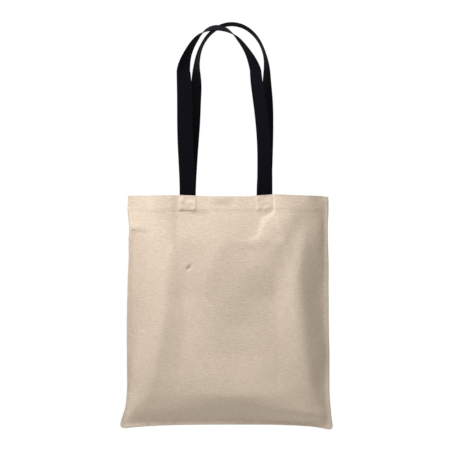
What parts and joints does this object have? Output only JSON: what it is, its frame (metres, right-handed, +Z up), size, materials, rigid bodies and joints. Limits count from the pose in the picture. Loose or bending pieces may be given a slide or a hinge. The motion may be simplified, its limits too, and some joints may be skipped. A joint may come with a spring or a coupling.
{
  "type": "canvas tote bag",
  "caption": "Flat canvas shopping bag with a hemmed open mouth and long flat webbing handles, hanging upright and lightly filled.",
  "frame": {"origin": "middle of the underside of the handles' crown, where a hook or a shoulder bears, in the mid-plane between the two panels", "axes": "+X along the mouth to the right, -Y out of the front panel, +Z up along the hanging handles"},
  "size_m": [0.3794, 0.0728, 0.7199],
  "materials": {
    "canvas": "unbleached plain-weave cotton canvas",
    "thread": "natural cotton sewing thread",
    "webbing": "black flat-woven cotton webbing"
  },
  "bodies": {
    "bag": {"front_panel": "canvas", "back_panel": "canvas", "left_seam_overlock": "thread", "right_seam_overlock": "thread", "bottom_seam_overlock": "thread", "front_hem_stitching": "thread", "back_hem_stitching": "thread", "front_left_handle_end": "webbing", "front_right_handle_end": "webbing", "back_left_handle_end": "webbing", "back_right_handle_end": "webbing", "front_left_handle_stitching": "thread", "front_right_handle_stitching": "thread", "back_left_handle_stitching": "thread", "back_right_handle_stitching": "thread"},
    "front_handle": {"front_handle": "webbing"},
    "back_handle": {"back_handle": "webbing"}
  },
  "joints": [
    {"name": "front_handle_fold", "type": "hinge", "parent": "bag", "child": "front_handle", "pos_m": [0, -0.0312, -0.289], "axis": [1, 0, 0], "range_deg": [0, 165]},
    {"name": "back_handle_fold", "type": "hinge", "parent": "bag", "child": "back_handle", "pos_m": [0, 0.0312, -0.289], "axis": [-1, 0, 0], "range_deg": [0, 165]}
  ]
}
